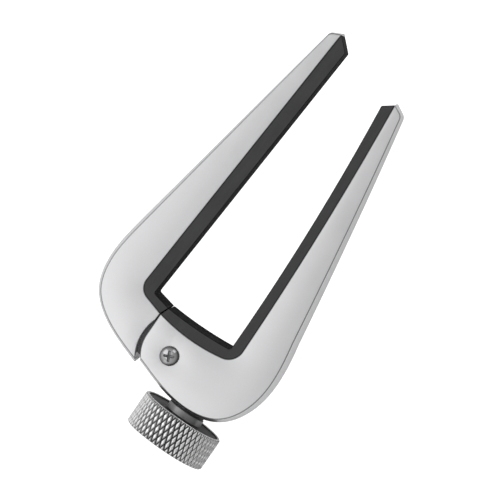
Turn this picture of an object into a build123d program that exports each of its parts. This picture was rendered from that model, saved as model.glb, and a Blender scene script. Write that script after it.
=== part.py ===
from build123d import *
import os
from math import cos, radians, sin

# A screw-closed guitar capo: two arms on a pivot, rubber pads inside them, and a thumbscrew at
# the heel that draws the string arm shut. It is drawn closed, lying flat: X runs across the
# mouth, Y from the heel to the tips, Z through the depth. The drawing's origin is the pivot
# axis, half-way through the depth. Millimetres.

# ---- Driving dimensions ----
CLEAR = 20.0                # a cutter's size where it only has to reach past the metal
BODY_DEPTH = 14.0
HALF = BODY_DEPTH / 2
HEEL_CROWN = 1.2            # how far the outer sides swell half-way through the depth
TIP_CROWN = 0.5
CROWN_TAPER = (25.0, 85.0)  # the swell falls from HEEL_CROWN to TIP_CROWN between these Y

CHEEK_GAP = 9.0             # the neck arm's slot, between its two cheeks
TONGUE = 7.8                # thickness of the string arm's tongue, inside that slot
SLOT_FLOOR_Y = -6.35
SLOT_END_X = 16.9
SLOT_OPEN_X = 2.0           # left of this the slot has no floor

SWING = 12.0                # how far the string arm opens, degrees
HALF_SWING = radians(SWING / 2)
SCREW_X = 11.05             # the thumbscrew's axis, parallel to Y
SCREW_R = 2.0               # M4

# The barrel nut runs straight along the stud, and its hole in the tail swings on an arc that
# crosses the stud's axis a quarter and three quarters of the way, so the play is shared.
NUT_ARC_R = 2 * SCREW_X / (1 + cos(HALF_SWING))
NUT_Y = -NUT_ARC_R * sin(HALF_SWING)       # with the capo closed
NUT_HOLE_X = NUT_ARC_R * cos(HALF_SWING)
NUT_R = 3.5
NUT_CHAMFER = 0.3
NUT_LENGTH = 7.6
NUT_PLAY = 0.07             # radial

BARREL_R = 2.2              # pivot barrel
BUSH_R = 2.9
RUNNING = 0.04              # radial clearance of a shaft in its hole
FIXED = 0.02                # radial clearance of a piece fixed in its hole
HEAD_R = 2.45               # pivot screw's dome
HEAD_RISE = 1.15
HEAD_LIP = 0.15
DOME_AT = (0.62, 0.8)       # a point of the dome, as shares of its radius and its rise
CROSS_REACH = 2.5
CROSS_WIDTH = 0.6
CROSS_DEPTH = 0.8

FLANGE_R = 3.4              # the barrel's flange, sunk in the back cheek
FLANGE_T = 1.2
FLANGE_SINK = 0.6
FLANGE_PLAY = 0.1
BARREL_SHORT = 0.1          # the barrel stops this far below the front face, so the head clamps
DRIVER_SLOT = (0.9, 0.5)    # width and depth, in the flange
THRUST_R = 4.6
THRUST_PLAY = 0.05
SCREW_SHANK_R = 1.5         # M3
PIVOT_THREAD = 9.0

SPOT_FACE_Y = -8.9          # flat under the heel, where the thumbscrew bears
SPOT_FACE_PLAY = 0.3        # radial, round the knob's neck
WASHER_T = 0.5
WASHER_INSET = 0.25         # the washer's rim lies this far inside the neck's
WASHER_PLAY = 0.1           # radial, round the stud
WASHER_GAP = (0.03, 0.05)   # above the washer and below it
KNOB_R = 11.15
KNOB_TOP_Y = -11.0
KNOB_HEIGHT = 8.9
KNOB_CHAMFER = 0.35
TOP_LIP = 0.9               # width of the wheel's rim round its upper recess
TOP_RECESS = 0.4
FOOT_LIP = 1.6
FOOT_RECESS = 0.5
NECK_R = 4.95

STUD_FOOT_Y = -15.6
STUD_TOP_Y = 5.9
LOCK_SINK = 0.9             # the lock screw's foot lies this far up in the knob
LOCK_GAP = 0.05             # between it and the stud
SOCKET_R = 1.15
SOCKET_DEPTH = 1.2
SCREW_BUSH_R = 3.0
CLIP_Y = 5.1
CLIP_T = 0.5
CLIP_R = 2.5
CLIP_GROOVE_R = 1.5
CLIP_MOUTH = (2.0, 2.0, 3.0)

PAD_GAP = 0.05              # between the two pads' ends, each side
PAD_REACH = 0.995           # share of the last stretch of seat that each pad covers
PAD_INSET = 0.15            # the pads' sides lie this far inside the arms' flat faces
RIB_DEPTH = 0.9             # each pad's rib, in a groove along its arm
RIB_WIDTH = 5.0
RIB_ENDS = (0.05, 0.95)     # where the rib starts and stops, as shares of the seat

SPRING_X = 5.35
SPRING_R = 1.3
SPRING_WIRE = 0.45
SPRING_PLAY = 0.2
SPRING_TURNS = 6
SPRING_FOOT_Y = -6.85
SPRING_TOP_Y = -2.45

HUB_R = 5.4                 # the tongue's hub on the pivot, and the lobe round the barrel nut
LOBE_R = 4.8
TONGUE_WEB = [(-12.0, 5.0), (0.0, 5.4), (11.6, 3.6), (10.8, -5.9), (0.0, -5.4), (-10.5, -3.6)]
SCREW_WINDOW = (6.4, CLEAR, 5.6)
SPRING_POCKET = (4.2, 6.0, 3.0)
SPRING_POCKET_AT = (4.7, -5.4)

# ---- Outlines of the flat front face ----
STRING_HEEL = [
    (-6.6, -5.6), (-11.1, -4.1), (-19.2, -0.3), (-23.5, 3.8), (-25.5, 9.9), (-25.5, 16.0), (-24.3, 23.6),
]
STRING_FLANK_MID = (-18.2, 57.5)
STRING_TIP = [(-12.5, 88.7), (-9.85, 89.8)]
STRING_SEAT = [(-9.85, 89.8), (-15.6, 9.6), (-7.9, 7.4)]        # tip, corner, seam
STRING_SEAT_R = 3.6
STRING_PAD_FACE = [(-6.55, 86.6), (-11.95, 10.7), (-6.9, 9.65)]  # tip, corner, seam
STRING_PAD_FACE_R = 0.6

NECK_HEEL = [
    (-5.7, -4.6), (4.0, -7.6), (11.0, -8.35), (18.7, -6.2), (23.6, 0.8), (24.8, 9.5), (23.5, 20.0),
]
NECK_FLANK_MID = (18.85, 51.0)
NECK_TIP = [(13.7, 81.6), (10.85, 83.0)]
NECK_SEAT_RUN = [(10.85, 83.0), (13.5, 45.0), (14.45, 11.3)]     # bowed, from the tip down
NECK_SEAT_FLOOR = [(11.0, 7.1), (1.4, 6.3), (-7.7, 7.4)]         # a shallow bowl, to the seam
NECK_PAD_RUN = [(8.15, 81.0), (10.95, 43.6), (11.6, 10.55)]
NECK_PAD_FLOOR = [(10.9, 9.85), (1.4, 9.35), (-6.9, 9.65)]
TIP_CUT = 0.9               # each tip's outer corner is rounded, from this far along its two sides

SEAM_NECK = [(-7.7, 7.4), (-7.7, 1.3), (-7.15, -2.0), (-5.7, -4.6)]
SEAM_STRING = [(-7.9, 7.4), (-8.0, 5.4), (-8.75, 1.2), (-6.6, -5.6)]
FAR = (40.0, 100.0, -14.0)  # beyond the arms: across, past the tips, past the heel
STRING_CUT_X = (-7.0, -9.1)  # where the string arm's cut runs out past the heel and past the tip
NECK_CUT_X = (-5.2, 10.2)    # and the neck arm's
NECK_BLANK_X = -12.0        # the neck arm's blank starts here, across the seam


# ---- Outline helpers ----
def crown_at(y):
    """The outer side's swell at a height along the arm."""
    low, high = CROWN_TAPER
    share = min(1.0, max(0.0, (y - low) / (high - low)))
    return HEEL_CROWN + (TIP_CROWN - HEEL_CROWN) * share


def swell(points, side):
    """Points moved outward by the crown, square to the run of the outline."""
    moved = []
    for index, (x, y) in enumerate(points):
        before = points[max(index - 1, 0)]
        after = points[min(index + 1, len(points) - 1)]
        run = Vector(after[0] - before[0], after[1] - before[1]).normalized()
        out = crown_at(y) * side
        moved.append((x + run.Y * out, y - run.X * out))
    return moved


def outer_edges(heel, flank_mid, tip, inner_x, side, swollen):
    """The closed outline of a blank: heel curve, bowed flank, tip, and a straight inner side."""
    run = heel + [flank_mid, *tip]
    if swollen:
        run = swell(run, side)
    heel_end, middle, corner, tip_end = (Vector(*point) for point in run[-4:])
    flank_end = corner + (middle - corner).normalized() * TIP_CUT
    tip_start = corner + (tip_end - corner).normalized() * TIP_CUT
    flank = Spline(heel_end, middle, flank_end)
    inner_top = (inner_x, tip_end.Y)
    inner_foot = (inner_x, run[0][1])
    return Wire([
        Spline(*run[:len(heel)]),
        flank,
        TangentArc(flank_end, tip_start, tangent=flank % 1),
        Line(tip_start, tip_end),
        Line(tip_end, inner_top),
        Line(inner_top, inner_foot),
        Line(inner_foot, run[0]),
    ])


def crowned_blank(heel, flank_mid, tip, inner_x, side):
    """A solid of BODY_DEPTH whose outer side swells half-way through."""
    faces = []
    for level, swollen in ((-HALF, False), (0.0, True), (HALF, False)):
        outline = outer_edges(heel, flank_mid, tip, inner_x, side, swollen)
        faces.append(Pos(0, 0, level) * Face(outline))
    return loft(faces)


def prism(edges, half_depth):
    """A straight prism on a closed run of edges, centred on the mid-plane."""
    return extrude(make_face(edges), half_depth, both=True)


def cylinder_y(radius, y_from, y_to, x=SCREW_X):
    """A round solid along Y."""
    middle = (y_from + y_to) / 2
    return Pos(x, middle, 0) * Rot(90, 0, 0) * Cylinder(radius, abs(y_to - y_from))


def ring_y(outer, inner, y_from, y_to):
    """A washer on the thumbscrew's axis."""
    return cylinder_y(outer, y_from, y_to) - cylinder_y(inner, y_from, y_to)


def cylinder_z(radius, z_from, z_to, at=(0, 0)):
    """A round solid along Z."""
    return Pos(at[0], at[1], (z_from + z_to) / 2) * Cylinder(radius, z_to - z_from)


def string_seat():
    """The string pad's seat in its arm, from the tip round the corner to the seam."""
    return FilletPolyline(*STRING_SEAT, radius=STRING_SEAT_R)


def string_side():
    """Everything on the string arm's side of the seam and of its pad seat."""
    across, top, foot = FAR
    seam = SEAM_STRING
    heel_x, tip_x = STRING_CUT_X
    round_back = [seam[3], (heel_x, foot), (-across, foot), (-across, top), (tip_x, top), STRING_SEAT[0]]
    return [string_seat(), Line(seam[0], seam[1]), ThreePointArc(*seam[1:]), Polyline(*round_back)]


def cornered_run(run, floor):
    """A bowed run and a bowl-shaped floor, with an arc between them tangent to the floor."""
    bowed = ThreePointArc(*run)
    bowl = ThreePointArc(*floor)
    corner = TangentArc(floor[0], run[2], tangent=-(bowl % 0))
    return [bowed, corner, bowl]


def neck_side():
    """Everything on the neck arm's side of the seam and of its pad seat."""
    across, top, foot = FAR
    seam = SEAM_NECK
    heel_x, tip_x = NECK_CUT_X
    round_back = [seam[3], (heel_x, foot), (across, foot), (across, top), (tip_x, top), NECK_SEAT_RUN[0]]
    seat = cornered_run(NECK_SEAT_RUN, NECK_SEAT_FLOOR)
    return [*seat, Line(seam[0], seam[1]), ThreePointArc(*seam[1:]), Polyline(*round_back)]


# ---- Arms ----
def tongue():
    """The string arm's tongue: hub on the pivot, tail to the barrel nut."""
    shape = prism([Polyline(*TONGUE_WEB, close=True)], TONGUE / 2)
    shape += cylinder_z(HUB_R, -TONGUE / 2, TONGUE / 2)
    shape += cylinder_z(LOBE_R, -TONGUE / 2, TONGUE / 2, (SCREW_X, NUT_Y))
    shape -= cylinder_z(BUSH_R, -HALF, HALF)
    shape -= cylinder_z(NUT_R + NUT_PLAY, -HALF, HALF, (NUT_HOLE_X, NUT_Y))
    shape -= Pos(SCREW_X, NUT_Y, 0) * Rot(0, 0, -SWING / 2) * Box(*SCREW_WINDOW)
    return shape - Pos(*SPRING_POCKET_AT, 0) * Box(*SPRING_POCKET)


def rib(seat_edge, outward):
    """The rib behind a pad: it follows the seat and sinks into the arm, which is outward of it."""
    shares = (RIB_ENDS[0], 0.5, RIB_ENDS[1])
    line = [seat_edge @ share for share in shares]
    sunk = [point + Vector(outward * RIB_DEPTH, 0) for point in line]
    proud = [point - Vector(outward, 0) for point in line]
    edges = [Spline(*sunk), Line(sunk[-1], proud[-1]), Spline(*reversed(proud)), Line(proud[0], sunk[0])]
    return prism(edges, RIB_WIDTH / 2)


def string_arm():
    """The long arm that presses the strings, with its tongue."""
    blank = crowned_blank(STRING_HEEL, STRING_FLANK_MID, STRING_TIP, 0.0, -1)
    arm = blank & prism(string_side(), HALF + 1)
    return arm - string_rib() + tongue()


def string_rib():
    """The straight rib of the string pad."""
    return rib(Line(STRING_SEAT[0], STRING_SEAT[1]), -1)


def neck_arm():
    """The arm behind the neck: cheeks round the tongue, and the heel that holds the screw."""
    blank = crowned_blank(NECK_HEEL, NECK_FLANK_MID, NECK_TIP, NECK_BLANK_X, 1)
    arm = blank & prism(neck_side(), HALF + 1)
    length = SLOT_END_X - NECK_BLANK_X
    half = CLEAR / 2
    arm -= Pos(SLOT_END_X - length / 2, SLOT_FLOOR_Y + half, 0) * Box(length, CLEAR, CHEEK_GAP)
    arm -= Pos(SLOT_OPEN_X - half, SLOT_FLOOR_Y, 0) * Box(CLEAR, CLEAR, CHEEK_GAP)
    arm -= cylinder_z(BARREL_R + FIXED, -HALF - 1, HALF + 1)
    arm -= cylinder_z(FLANGE_R + FLANGE_PLAY, -HALF - 1, -HALF + FLANGE_SINK)
    arm -= cylinder_y(NECK_R + SPOT_FACE_PLAY, SPOT_FACE_Y - 5, SPOT_FACE_Y)
    arm -= cylinder_y(SCREW_BUSH_R + FIXED, SPOT_FACE_Y - 1, SLOT_FLOOR_Y + 1)
    arm -= cylinder_y(SPRING_R + SPRING_PLAY, SPRING_FOOT_Y, SLOT_FLOOR_Y + 1, SPRING_X)
    return arm - neck_rib()


def neck_rib():
    """The bowed rib of the neck pad."""
    return rib(ThreePointArc(*NECK_SEAT_RUN), 1)


# ---- Pads ----
def string_pad():
    """The straight pad that lies on the strings, with a foot round the mouth's corner."""
    seat = string_seat().edges().sort_by(Axis.Y)
    foot_seat = seat[0].trim(0, PAD_REACH)
    face_foot = (STRING_PAD_FACE[2][0] - PAD_GAP, STRING_PAD_FACE[2][1])
    face = FilletPolyline(*STRING_PAD_FACE[:2], face_foot, radius=STRING_PAD_FACE_R)
    edges = [
        *seat[1:],
        foot_seat,
        Line(foot_seat @ 1, face_foot),
        face,
        Line(STRING_PAD_FACE[0], STRING_SEAT[0]),
    ]
    return prism(edges, HALF - PAD_INSET) + string_rib()


def neck_pad():
    """The L-shaped pad: a shallow floor for the mouth and a bowed run up the neck arm."""
    run, corner, floor = cornered_run(NECK_SEAT_RUN, NECK_SEAT_FLOOR)
    floor = floor.trim(0, PAD_REACH)
    face_foot = (NECK_PAD_FLOOR[2][0] + PAD_GAP, NECK_PAD_FLOOR[2][1])
    face = cornered_run(NECK_PAD_RUN, NECK_PAD_FLOOR[:2] + [face_foot])
    tip = Line(NECK_PAD_RUN[0], NECK_SEAT_RUN[0])
    edges = [run, corner, floor, Line(floor @ 1, face_foot), *face, tip]
    return prism(edges, HALF - PAD_INSET) + neck_rib()


# ---- Pivot ----
def pivot_screw():
    """A cross-recessed dome-headed screw that threads into the barrel."""
    rim = HALF + HEAD_LIP
    shoulder = (HEAD_R * DOME_AT[0], HALF + HEAD_RISE * DOME_AT[1])
    profile = [
        Line((0, HALF), (HEAD_R, HALF)),
        Line((HEAD_R, HALF), (HEAD_R, rim)),
        ThreePointArc((HEAD_R, rim), shoulder, (0, HALF + HEAD_RISE)),
        Line((0, HALF + HEAD_RISE), (0, HALF)),
    ]
    head = revolve(Plane.XZ * make_face(profile), Axis.Z)
    shank = cylinder_z(SCREW_SHANK_R, HALF - PIVOT_THREAD, HALF)
    wing = Box(CROSS_REACH, CROSS_WIDTH, 2 * CROSS_DEPTH)
    recess = Pos(0, 0, HALF + HEAD_RISE) * (wing + Rot(0, 0, 90) * wing)
    return head + shank - recess


def pivot_barrel():
    """The flanged barrel the string arm turns on, entered from the back."""
    flange_foot = -HALF + FLANGE_SINK - FLANGE_T
    barrel = cylinder_z(BARREL_R, -HALF + FLANGE_SINK, HALF - BARREL_SHORT)
    barrel += cylinder_z(FLANGE_R, flange_foot, -HALF + FLANGE_SINK)
    barrel -= cylinder_z(SCREW_SHANK_R + FIXED, HALF - PIVOT_THREAD - 1, HALF)
    slot_width, slot_depth = DRIVER_SLOT
    return barrel - Pos(0, 0, flange_foot) * Box(2 * FLANGE_R + 1, slot_width, 2 * slot_depth)


def pivot_bush():
    """The sleeve in the tongue that runs on the barrel."""
    return tube_z(BUSH_R, BARREL_R + RUNNING, -TONGUE / 2, TONGUE / 2)


def thrust_washer(side):
    """A washer between the tongue and one cheek; side is +1 at the front, -1 at the back."""
    low = TONGUE / 2 + THRUST_PLAY
    levels = sorted((side * low, side * (low + WASHER_T)))
    return tube_z(THRUST_R, BARREL_R + RUNNING, *levels)


def tube_z(outer, inner, z_from, z_to):
    """A sleeve on the pivot axis."""
    return cylinder_z(outer, z_from, z_to) - cylinder_z(inner, z_from, z_to)


# ---- Thumbscrew ----
def thumb_knob():
    """The knurled wheel and its plain neck, hollowed a little above and below."""
    foot = KNOB_TOP_Y - KNOB_HEIGHT
    knob = cylinder_y(KNOB_R, foot, KNOB_TOP_Y)
    knob = chamfer(knob.edges().filter_by(GeomType.CIRCLE), KNOB_CHAMFER)
    knob -= ring_y(KNOB_R - TOP_LIP, NECK_R, KNOB_TOP_Y - TOP_RECESS, KNOB_TOP_Y + 1)
    knob -= cylinder_y(KNOB_R - FOOT_LIP, foot - 1, foot + FOOT_RECESS)
    knob += cylinder_y(NECK_R, KNOB_TOP_Y - 1, SPOT_FACE_Y - WASHER_T - WASHER_GAP[1])
    return knob - cylinder_y(SCREW_R + FIXED, foot - 1, SPOT_FACE_Y)


def screw_stud():
    """The M4 stud, fixed in the knob and grooved for its clip."""
    stud = cylinder_y(SCREW_R, STUD_FOOT_Y, STUD_TOP_Y)
    return stud - ring_y(SCREW_R + 1, CLIP_GROOVE_R, CLIP_Y - CLIP_T / 2, CLIP_Y + CLIP_T / 2)


def lock_screw():
    """The grub screw that jams the stud from below."""
    foot = KNOB_TOP_Y - KNOB_HEIGHT + LOCK_SINK
    grub = cylinder_y(SCREW_R, foot, STUD_FOOT_Y - LOCK_GAP)
    hexagon = extrude(RegularPolygon(SOCKET_R, 6), SOCKET_DEPTH, both=True)
    socket = Pos(SCREW_X, foot, 0) * Rot(90, 0, 0) * hexagon
    return grub - socket


def stud_clip():
    """The open ring that keeps the stud from being unscrewed right out."""
    half = CLIP_T / 2 - FIXED
    ring = ring_y(CLIP_R, CLIP_GROOVE_R + FIXED, CLIP_Y - half, CLIP_Y + half)
    return ring - Pos(SCREW_X, CLIP_Y, CLIP_R - CLIP_MOUTH[2] / 6) * Box(*CLIP_MOUTH)


def knob_washer():
    """The washer between the neck and the flat under the heel."""
    top = SPOT_FACE_Y - WASHER_GAP[0]
    return ring_y(NECK_R - WASHER_INSET, SCREW_R + WASHER_PLAY, SPOT_FACE_Y - WASHER_T, top)


def screw_bush():
    """The sleeve in the heel's wall that the stud turns in."""
    return ring_y(SCREW_BUSH_R, SCREW_R + RUNNING, SPOT_FACE_Y, SLOT_FLOOR_Y)


def barrel_nut():
    """The cross dowel in the tail, drilled across for the stud."""
    dowel = cylinder_z(NUT_R, -NUT_LENGTH / 2, NUT_LENGTH / 2, (SCREW_X, NUT_Y))
    dowel = chamfer(dowel.edges().filter_by(GeomType.CIRCLE), NUT_CHAMFER)
    return dowel - cylinder_y(SCREW_R + RUNNING, NUT_Y - 5, NUT_Y + 5)


def return_spring():
    """The small coil that pushes the tail up when the screw lets it."""
    pitch = (SPRING_TOP_Y - SPRING_FOOT_Y - SPRING_WIRE) / SPRING_TURNS
    mean_r = SPRING_R - SPRING_WIRE / 2
    line = Helix(pitch, pitch * SPRING_TURNS, mean_r)
    section = Plane(line @ 0, z_dir=line % 0) * Circle(SPRING_WIRE / 2)
    coil = sweep(section, path=line, is_frenet=True)
    return Pos(SPRING_X, SPRING_FOOT_Y + SPRING_WIRE / 2, 0) * Rot(-90, 0, 0) * coil


# ---- Assembly ----
parts = {
    "string_arm": string_arm(),
    "string_pad": string_pad(),
    "neck_arm": neck_arm(),
    "neck_pad": neck_pad(),
    "pivot_screw": pivot_screw(),
    "pivot_barrel": pivot_barrel(),
    "pivot_bush": pivot_bush(),
    "front_thrust_washer": thrust_washer(1),
    "back_thrust_washer": thrust_washer(-1),
    "thumb_knob": thumb_knob(),
    "screw_stud": screw_stud(),
    "lock_screw": lock_screw(),
    "stud_clip": stud_clip(),
    "knob_washer": knob_washer(),
    "screw_bush": screw_bush(),
    "barrel_nut": barrel_nut(),
    "return_spring": return_spring(),
}

# The frame's origin is under the middle of the whole capo, at its lowest point.
whole = Compound(list(parts.values())).bounding_box()
to_frame = Pos(-whole.center().X, -whole.center().Y, -whole.min.Z)

os.makedirs("parts", exist_ok=True)
for node, shape in parts.items():
    export_step(to_frame * shape, f"parts/{node}.step")

pivot_at = to_frame.position
nut_at = (to_frame * Pos(SCREW_X, NUT_Y, 0)).position
print("pivot at", pivot_at, "nut at", nut_at, "size", whole.size)
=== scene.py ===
"""Looks of a screw-closed guitar capo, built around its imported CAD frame.

Two satin arms with rubber pads, a domed pivot screw, a knurled thumbscrew and the small hardware
between them. Lengths are in metres, and every place is worked out from the frame's own boxes.
"""

import logging
import math
from dataclasses import dataclass
from enum import Enum
from typing import Any, Callable, List, Mapping, Sequence, Tuple, Union

import bmesh
import bpy
import numpy as np
from mathutils import Matrix, Vector
from mathutils.kdtree import KDTree


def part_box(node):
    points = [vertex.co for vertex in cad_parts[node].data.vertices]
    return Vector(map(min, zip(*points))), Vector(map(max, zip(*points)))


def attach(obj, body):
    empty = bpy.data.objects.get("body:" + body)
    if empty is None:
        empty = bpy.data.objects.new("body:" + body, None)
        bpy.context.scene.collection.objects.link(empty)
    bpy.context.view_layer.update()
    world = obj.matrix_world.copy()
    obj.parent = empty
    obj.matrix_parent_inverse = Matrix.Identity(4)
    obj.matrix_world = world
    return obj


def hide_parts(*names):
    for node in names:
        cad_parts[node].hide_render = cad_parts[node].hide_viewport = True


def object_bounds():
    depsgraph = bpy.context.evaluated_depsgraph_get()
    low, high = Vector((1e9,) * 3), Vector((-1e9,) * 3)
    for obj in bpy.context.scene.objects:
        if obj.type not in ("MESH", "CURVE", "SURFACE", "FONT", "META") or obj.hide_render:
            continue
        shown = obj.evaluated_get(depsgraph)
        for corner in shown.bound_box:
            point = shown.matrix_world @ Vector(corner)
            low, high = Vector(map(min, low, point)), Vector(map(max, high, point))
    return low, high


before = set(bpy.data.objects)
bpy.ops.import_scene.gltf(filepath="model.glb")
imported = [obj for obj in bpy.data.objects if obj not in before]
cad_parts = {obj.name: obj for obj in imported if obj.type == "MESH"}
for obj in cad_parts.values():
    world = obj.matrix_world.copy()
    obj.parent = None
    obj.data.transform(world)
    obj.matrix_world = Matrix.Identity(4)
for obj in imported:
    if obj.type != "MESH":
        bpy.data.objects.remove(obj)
CAD_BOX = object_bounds()

MM = 0.001
TURN = 2 * math.pi
LEVEL_NORMAL = 0.9999       # a normal's Z from which a face counts as level
TOUCHING = 1e-6             # points nearer than this are on one level
ON_PLANE = 1e-8             # points nearer than this to a cutting plane aren't cut
LEVEL_REACH = 1e-7          # a knurl cell whose corners differ less than this is left whole
END_GAP = 0.02 * MM         # between a run of mesh rings and the corner that ends it

Colour = Tuple[float, float, float]
Point2 = Tuple[float, float]

log = logging.getLogger("capo")


class Slot(Enum):
    """The record's material slots for the finer pieces, carried along but not assigned here."""

    ARM_METAL = "arm_metal"
    PAD_RUBBER = "pad_rubber"
    BRIGHT_STEEL = "bright_steel"
    PLAIN_STEEL = "plain_steel"


class Body(Enum):
    """The record's moving bodies."""

    NECK = "neck_body"
    STRING = "string_body"
    SCREW = "thumbscrew"


class Mark(Enum):
    """What a mesh says of its faces, for the finishes to read."""

    ROLLED = "rolled_edge"
    SIDE = "side_face"
    INNER = "inner_face"


class Turning(Enum):
    """The axis that a turned piece was cut about: the place of each coordinate, axis last."""

    ABOUT_PIVOT = ("X", "Y", "Z")
    ABOUT_STUD = ("X", "Z", "Y")


# ---------------------------------------------------------------------------------------------
# Shader sheets
# ---------------------------------------------------------------------------------------------


class Reading:
    """A socket that carries a number, so that shader maths is written as an expression."""

    def __init__(self, sheet: "NodeSheet", socket: bpy.types.NodeSocket) -> None:
        """Keeps the socket and the sheet that new nodes go on."""
        self.sheet = sheet
        self.socket = socket

    def _math(self, operation: str, *terms: "Term", clamp: bool = False) -> "Reading":
        """Adds one Math node.

        Args:
            operation: The node's operation.
            terms: Numbers or readings for its sockets, in order.
            clamp: Whether the result is kept from 0 to 1.

        Returns:
            The node's result.
        """
        settings = {"operation": operation, "use_clamp": clamp}
        node = self.sheet.node("ShaderNodeMath", settings, dict(enumerate(terms)))
        return Reading(self.sheet, node.outputs[0])

    def __add__(self, other: "Term") -> "Reading":
        """This reading plus another."""
        return self._math("ADD", self, other)

    __radd__ = __add__

    def __mul__(self, other: "Term") -> "Reading":
        """This reading times another."""
        return self._math("MULTIPLY", self, other)

    __rmul__ = __mul__

    def __sub__(self, other: "Term") -> "Reading":
        """This reading less another."""
        return self._math("SUBTRACT", self, other)

    def __rsub__(self, other: "Term") -> "Reading":
        """Another term less this reading."""
        return self._math("SUBTRACT", other, self)

    def __truediv__(self, other: "Term") -> "Reading":
        """This reading divided by another."""
        return self._math("DIVIDE", self, other)

    def __pow__(self, other: "Term") -> "Reading":
        """This reading raised to a power."""
        return self._math("POWER", self, other)

    def root(self) -> "Reading":
        """The square root."""
        return self._math("SQRT", self)

    def larger(self, other: "Term") -> "Reading":
        """The larger of this reading and another."""
        return self._math("MAXIMUM", self, other)

    def clamped(self) -> "Reading":
        """This reading kept from 0 to 1."""
        return self._math("ADD", self, 0.0, clamp=True)

    def step(self, low: float, high: float) -> "Reading":
        """A smooth step from 0 at low to 1 at high.

        Args:
            low: The reading at which the step starts.
            high: The reading at which it ends; below low, the step falls.

        Returns:
            The step, from 0 to 1.
        """
        settings = {"interpolation_type": "SMOOTHSTEP"}
        ends = {"From Min": low, "From Max": high}
        if high < low:
            ends = {"From Min": high, "From Max": low, "To Min": 1.0, "To Max": 0.0}
        node = self.sheet.node("ShaderNodeMapRange", settings, {"Value": self, **ends})
        return Reading(self.sheet, node.outputs["Result"])


Term = Union[float, Reading]


class NodeSheet:
    """A node tree, with one way to add any node and short calls for what the finishes share."""

    def __init__(self, tree: bpy.types.NodeTree) -> None:
        """Clears the tree."""
        self.tree = tree
        tree.nodes.clear()

    def node(self, kind: str, settings: Mapping[str, Any], sockets: Mapping[Any, Any]) -> bpy.types.Node:
        """Adds a node.

        Args:
            kind: The node's type.
            settings: Its properties, set first.
            sockets: Values, readings or sockets for its inputs, by name or number.

        Returns:
            The new node.
        """
        made = self.tree.nodes.new(kind)
        for name, value in settings.items():
            setattr(made, name, value)
        for name, value in sockets.items():
            source = value.socket if isinstance(value, Reading) else value
            if isinstance(source, bpy.types.NodeSocket):
                self.tree.links.new(source, made.inputs[name])
            else:
                made.inputs[name].default_value = source
        return made

    def place(self) -> bpy.types.NodeSocket:
        """A point's place in the frame, in metres."""
        return self.node("ShaderNodeTexCoord", {}, {}).outputs["Object"]

    def apart(self, vector: bpy.types.NodeSocket) -> dict:
        """A vector's X, Y and Z as readings."""
        split = self.node("ShaderNodeSeparateXYZ", {}, {0: vector})
        return {name: Reading(self, split.outputs[name]) for name in "XYZ"}

    def together(self, x: Term, y: Term, z: Term) -> bpy.types.NodeSocket:
        """A vector from three readings."""
        return self.node("ShaderNodeCombineXYZ", {}, {0: x, 1: y, 2: z}).outputs[0]

    def stretched(self, vector: bpy.types.NodeSocket, by: Colour) -> bpy.types.NodeSocket:
        """A vector multiplied by another, axis by axis."""
        settings = {"operation": "MULTIPLY"}
        return self.node("ShaderNodeVectorMath", settings, {0: vector, 1: by}).outputs[0]

    def noise(self, place: bpy.types.NodeSocket, size: float, detail: float = 2.0) -> Reading:
        """Cloudy noise.

        Args:
            place: Where it is read.
            size: The size of one cloud, in metres.
            detail: How many finer layers it has.

        Returns:
            The noise, about 0.5.
        """
        sockets = {"Vector": place, "Scale": 1 / size, "Detail": detail, "Roughness": 0.5}
        made = self.node("ShaderNodeTexNoise", {"noise_dimensions": "3D"}, sockets)
        return Reading(self, made.outputs["Fac"])

    def specks(self, place: bpy.types.NodeSocket, size: float, share: float) -> Reading:
        """Small separate spots.

        Args:
            place: Where they are read.
            size: The distance between spots, in metres.
            share: A spot's radius as a share of that distance.

        Returns:
            1 in a spot and 0 between spots.
        """
        made = self.node("ShaderNodeTexVoronoi", {}, {"Vector": place, "Scale": 1 / size})
        return Reading(self, made.outputs["Distance"]).step(share, share * 0.5)

    def blend(self, factor: Term, first: Any, second: Any) -> bpy.types.NodeSocket:
        """Mixes two colours.

        Args:
            factor: The share of the second colour.
            first: A colour or a colour socket.
            second: A colour or a colour socket.

        Returns:
            The mixed colour.
        """
        settings = {"data_type": "RGBA"}
        ends = [c + (1.0,) if isinstance(c, tuple) else c for c in (first, second)]
        return self.node("ShaderNodeMix", settings, {0: factor, 6: ends[0], 7: ends[1]}).outputs[2]

    def mark(self, mark: Mark) -> Reading:
        """A mark that the mesh carries on its faces, as 0 or 1."""
        made = self.node("ShaderNodeAttribute", {"attribute_name": mark.value}, {})
        return Reading(self, made.outputs["Fac"])

    def bump(self, height: Reading, distance: float, strength: float = 1.0) -> bpy.types.NodeSocket:
        """A surface normal tilted by a height.

        Args:
            height: The height, from 0 to 1.
            distance: What a height of 1 stands for, in metres.
            strength: How much of it counts.

        Returns:
            The normal.
        """
        sockets = {"Strength": strength, "Distance": distance, "Height": height}
        return self.node("ShaderNodeBump", {}, sockets).outputs["Normal"]


class MaterialSheet(NodeSheet):
    """A material with one Principled shader."""

    def __init__(self, name: str, constants: Mapping[str, Any]) -> None:
        """Starts the material.

        Args:
            name: The material's name.
            constants: Shader sockets that are the same all over.
        """
        self.material = bpy.data.materials.new(name)
        self.material.use_nodes = True
        super().__init__(self.material.node_tree)
        self.shader = self.node("ShaderNodeBsdfPrincipled", {}, constants)
        self.node("ShaderNodeOutputMaterial", {}, {"Surface": self.shader.outputs["BSDF"]})

    def feed(self, **sockets: Union[Reading, bpy.types.NodeSocket]) -> bpy.types.Material:
        """Links what changes over the surface.

        Args:
            sockets: A link for each shader socket, named with underscores for spaces.

        Returns:
            The finished material.
        """
        for name, value in sockets.items():
            source = value.socket if isinstance(value, Reading) else value
            self.tree.links.new(source, self.shader.inputs[name.replace("_", " ")])
        return self.material


# ---------------------------------------------------------------------------------------------
# Finishes
# ---------------------------------------------------------------------------------------------


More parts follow.
